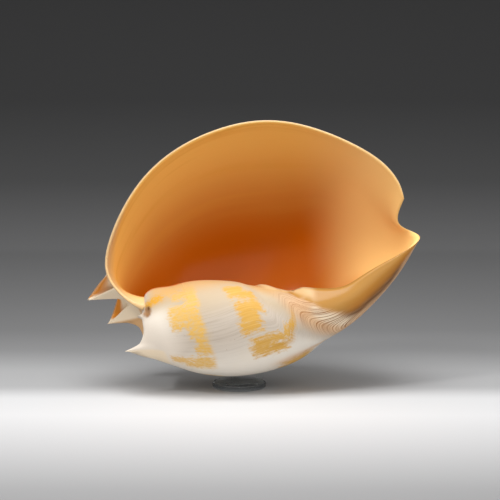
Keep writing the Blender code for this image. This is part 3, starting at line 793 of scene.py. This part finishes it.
# The chalky outside, with what lies on it, from the ground up.
streak_share = wall.math("MULTIPLY", wall.painted("streak"), wall.ramp(broad_lines, 0.3, 0.6, 1.0, 0.5))
gold_edge = wall.math("ADD", wall.painted("pad_gold"), wall.math("MULTIPLY", ragged, GOLD_SHIFT))
chalk = wall.layered(CHALK, [
    (wall.ramp(broad_lines, 0.45, 0.68, last=0.42), CHALK_GREY),
    (wall.ramp(fine_lines, 0.48, 0.68, last=0.50), CHALK_GREY),
    (wall.ramp(specks, 0.755, 0.80, last=0.6), TOOTH_BROWN),
    (wall.ramp(clouds, 0.45, 0.72, last=0.7), CHALK_WARM),
    (wall.painted("top", 0.85), CHALK_TOP),
    # Paler chalk on the back, and painted light low on the belly.
    (wall.painted("white", 0.85), CHALK_PALE_AND_LIT),
    (blotches, yellow_tone),
    (streak_share, YELLOW_BROWN),
    (wall.painted("warm_rim", 0.7), PEACH),
    (wall.painted("horizon", 0.9), HORIZON),
    (wall.painted("fasciole"), wall.blend(wall.ramp(both_lines, 0.38, 0.60), FASCIOLE_TAN, FASCIOLE_PALE)),
    (wall.painted("teeth"), wall.blend(wall.ramp(broad_lines, 0.42, 0.56), TOOTH_BROWN, RIM_WHITE)),
    (wall.painted("spine_tint"), SPINE_TAN),
    (wall.painted("spine_rim"), RIM_WHITE),
    (wall.painted("channel"), CHANNEL_ORANGE),
    (wall.ramp(gold_edge, 0.30, 1.10), PAD_GOLD),
    # Painted shadow: the notch and the hole under the end of the lip are darkened where only shade falls.
    (wall.painted("notch"), NOTCH_SHADOW_TAN),
    (wall.painted("hole_shadow"), BROWN_AND_HOLE_SHADOW),
])

# The orange glaze of the mouth, darker deep inside as painted shade, with a painted reflection in peach and
# painted light on the pale lip band, and then the callus and the edge of the lip over all.
lip_lines = wall.math("MULTIPLY", wall.ramp(lip_noise, 0.50, 0.66, last=0.55), wall.painted("lip_run_and_deep_shade"))
glazed = wall.layered(DEEP_ORANGE_SHADED, [
    (wall.painted("lip_run_and_deep_shade"), LIP_ORANGE),
    (lip_lines, BAND_ORANGE),
    (wall.painted("peach_reflection"), MOUTH_PEACH_REFLECTION),
    # Pale lip band, partly painted light.
    (wall.painted("lip_band_and_light"), LIP_CREAM),
])
callus_tone = wall.layered(CALLUS_GOLD, [
    (wall.painted("folds"), CALLUS_CREAM),
    (wall.painted("under"), CALLUS_BROWN),
])
colour = wall.layered(chalk, [
    (wall.painted("glaze"), glazed),
    (wall.painted("callus"), callus_tone),
    (wall.painted("dark_line"), BROWN_AND_HOLE_SHADOW),
    (wall.painted("lip_edge"), LIP_CREAM),
])
wall.feed(wall.surface.inputs["Base Color"], colour)
wall.surface.inputs["Specular IOR Level"].default_value = WALL_SPECULAR
gloss = wall.math("MAXIMUM", wall.painted("glaze"), wall.painted("callus"))
gloss = wall.math("MAXIMUM", gloss, wall.painted("pad"))
wall.feed(wall.surface.inputs["Roughness"], wall.ramp(gloss, 0, 1, CHALK_ROUGHNESS, GLAZE_ROUGHNESS))
relief = wall.math("MULTIPLY", both_lines, wall.ramp(gloss, 0, 1, 1.0, GLAZE_RELIEF))
bump = wall.add("Bump", "Normal", {"Height": relief, "Strength": RELIEF_STRENGTH, "Distance": RELIEF_DEPTH})
wall.feed(wall.surface.inputs["Normal"], bump)

shell = bpy.data.objects.new("baler_shell", mesh)
bpy.context.collection.objects.link(shell)
mesh.materials.append(wall.material)
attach(shell, "root")
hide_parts("volute_shell")

# The stand is a small clear acrylic disc with three pegs that carry the belly of the shell.
# Its edges are eased and polished, and the pegs are cemented into the disc.
DISC_RADIUS = 25.5 * MM
DISC_THICK = 5.0 * MM
PEG_RADIUS = 3.5 * MM
PEG_CIRCLE = 21.0 * MM
FIRST_PEG_TURN = math.radians(20.0)
PEG_COUNT = 3
EDGE_ROUND = 0.8 * MM
EDGE_STEPS = 4
DISC_SIDES = 96
PEG_SIDES = 32
SMOOTH_UNDER = math.radians(35)
CLEAR_TINT = (0.97, 0.99, 0.98, 1)
CLEAR_ROUGHNESS = 0.03
CLEAR_IOR = 1.1


def deselect():
    for thing in bpy.context.selected_objects:
        thing.select_set(False)


def clear_bar(name, radius, low, high, x, y, sides):
    """A round bar from low to high with its edges eased."""
    deselect()
    bpy.ops.mesh.primitive_cylinder_add(vertices=sides, radius=radius, depth=high - low,
                                        location=(x, y, (high + low) / 2))
    bar = bpy.context.object
    bar.name = name
    bpy.ops.object.transform_apply(location=True, rotation=True, scale=True)
    bevel = bar.modifiers.new("eased_edges", "BEVEL")
    bevel.width = EDGE_ROUND
    bevel.segments = EDGE_STEPS
    bevel.limit_method = "ANGLE"
    bpy.ops.object.modifier_apply(modifier=bevel.name)
    return bar


cad_points = np.array([v.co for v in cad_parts["clear_stand"].data.vertices])
stand = clear_bar("clear_stand_disc", DISC_RADIUS, 0.0, DISC_THICK, 0, 0, DISC_SIDES)
for k in range(PEG_COUNT):
    turn = FIRST_PEG_TURN + 2 * math.pi * k / PEG_COUNT
    x = PEG_CIRCLE * math.cos(turn)
    y = PEG_CIRCLE * math.sin(turn)
    near = np.hypot(cad_points[:, 0] - x, cad_points[:, 1] - y) < PEG_RADIUS * 1.1
    peg = clear_bar("clear_stand_peg", PEG_RADIUS, DISC_THICK / 2, cad_points[near, 2].max(), x, y, PEG_SIDES)
    join = stand.modifiers.new("cemented", "BOOLEAN")
    join.operation = "UNION"
    join.object = peg
    deselect()
    bpy.context.view_layer.objects.active = stand
    bpy.ops.object.modifier_apply(modifier=join.name)
    bpy.data.objects.remove(peg)
deselect()
stand.select_set(True)
bpy.context.view_layer.objects.active = stand
bpy.ops.object.shade_smooth_by_angle(angle=SMOOTH_UNDER)
stand.visible_shadow = False
clear_finish = Finish("clear_acrylic_polished")
clear = clear_finish.surface.inputs
clear["Base Color"].default_value = CLEAR_TINT
clear["Roughness"].default_value = CLEAR_ROUGHNESS
clear["IOR"].default_value = CLEAR_IOR
clear["Transmission Weight"].default_value = 1.0
stand.data.materials.append(clear_finish.material)
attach(stand, "root")
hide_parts("clear_stand")

# The stage is a white table top that sweeps up into a wall of grey paper. Its tones are painted light and
# shade: a bright pool round the shell, darker towards the front edge, and falling off to dark grey up the
# wall. They are given at shares of the way from its front edge, over the table and up the wall.
FLOOR = -0.3 * MM
FLOOR_FRONT = -1.2
FLOOR_BACK = 1.6
SWEEP = 0.5
SWEEP_STEPS = 16
WALL_TOP = 2.2
STAGE_HALF = 3.0
PAPER_FRONT = -0.5
PAPER_BACK = 2.5
PAPER_LIGHT_TONES = [(0.0, 0.235), (0.042, 0.325), (0.094, 0.53), (0.125, 0.65), (0.150, 0.64), (0.166, 0.41),
               (0.194, 0.40), (0.233, 0.265), (0.278, 0.215), (0.36, 0.21), (0.553, 0.21), (0.667, 0.092),
               (0.758, 0.056), (1.0, 0.050)]
PAPER_COOL = 1.01
PAPER_ROUGHNESS = 0.9
PAPER_SPECULAR = 0.1
profile = [(FLOOR_FRONT, 0.0), (FLOOR_BACK - SWEEP, 0.0)]
for step in range(1, SWEEP_STEPS + 1):
    turn = step / SWEEP_STEPS * math.pi / 2
    profile.append((FLOOR_BACK - SWEEP + SWEEP * math.sin(turn), SWEEP - SWEEP * math.cos(turn)))
profile.append((FLOOR_BACK, WALL_TOP))
stage_mesh = bpy.data.meshes.new("studio_sweep")
corners = [(x, y, z + FLOOR) for y, z in profile for x in (-STAGE_HALF, STAGE_HALF)]
strips = [(2 * k, 2 * k + 1, 2 * k + 3, 2 * k + 2) for k in range(len(profile) - 1)]
stage_mesh.from_pydata(corners, [], strips)
stage_mesh.shade_smooth()
sweep = bpy.data.objects.new("studio_sweep", stage_mesh)
bpy.context.collection.objects.link(sweep)
sweep_finish = Finish("paper_painted_light")
place = sweep_finish.add("TexCoord", "Object", {})
depth = sweep_finish.math("ADD", sweep_finish.add("SeparateXYZ", "Y", {0: place}),
                          sweep_finish.add("SeparateXYZ", "Z", {0: place}))
tone = sweep_finish.tree.nodes.new("ShaderNodeValToRGB")
sweep_finish.feed(tone.inputs["Fac"], sweep_finish.ramp(depth, PAPER_FRONT, PAPER_BACK, smoothly=False))
tones = tone.color_ramp.elements
for share, grey in PAPER_LIGHT_TONES:
    spot = tones[0] if share == 0 else tones[-1] if share == 1 else tones.new(share)
    spot.color = (grey, grey, grey * PAPER_COOL, 1)
sweep_finish.feed(sweep_finish.surface.inputs["Base Color"], tone.outputs["Color"])
sweep_finish.surface.inputs["Roughness"].default_value = PAPER_ROUGHNESS
sweep_finish.surface.inputs["Specular IOR Level"].default_value = PAPER_SPECULAR
stage_mesh.materials.append(sweep_finish.material)

# Light: a small soft box in front, above and to the left gives the sheen, a larger one hangs overhead,
# and a big pale card behind the camera fills the mouth, with soft light from all round.
SHELL_MIDDLE = Vector((0.01, 0.0, 0.13))
TOP_SPREAD = math.radians(120)
AIR_LIGHT = 0.58


def soft_box(name, toward, distance, size, power):
    """A square lamp that lies toward a direction from the middle of the shell and faces it."""
    light = bpy.data.lights.new(name, "AREA")
    light.shape = "SQUARE"
    light.size = size
    light.energy = power
    lamp = bpy.data.objects.new(name, light)
    direction = Vector(toward).normalized()
    lamp.location = SHELL_MIDDLE + direction * distance
    lamp.rotation_euler = direction.to_track_quat("Z", "Y").to_euler()
    bpy.context.collection.objects.link(lamp)
    return lamp


top_light = soft_box("top_light", toward=(0.0, -0.40, 1.0), distance=1.0, size=0.6, power=4.3)
top_light.data.spread = TOP_SPREAD
soft_box("key_light", toward=(-0.49, -0.58, 0.647), distance=1.6, size=0.22, power=6.8)
soft_box("front_card", toward=(0.45, -0.88, 0.05), distance=1.6, size=2.6, power=15.5)
world = bpy.data.worlds.new("studio_air")
bpy.context.scene.world = world
world.use_nodes = True
air = world.node_tree.nodes["Background"].inputs
air["Color"].default_value = (1, 1, 1, 1)
air["Strength"].default_value = AIR_LIGHT

# The camera stands a metre and a half away with a long lens and looks down a little.
CAMERA_DISTANCE = 1.5
CAMERA_DOWN = math.radians(6.5)
VIEW_WIDTH = 0.475
CAMERA_AIM = Vector((0.01045, 0.0, 0.13195))
SENSOR = 36.0
camera_data = bpy.data.cameras.new("studio_camera")
camera_data.sensor_width = SENSOR
camera_data.lens = SENSOR * CAMERA_DISTANCE / VIEW_WIDTH
camera = bpy.data.objects.new("studio_camera", camera_data)
camera_way = Vector((0, -math.cos(CAMERA_DOWN), math.sin(CAMERA_DOWN)))
camera.location = CAMERA_AIM + CAMERA_DISTANCE * camera_way
camera.rotation_euler = (math.pi / 2 - CAMERA_DOWN, 0, 0)
bpy.context.collection.objects.link(camera)
bpy.context.scene.camera = camera
bpy.context.scene.view_settings.view_transform = "Standard"
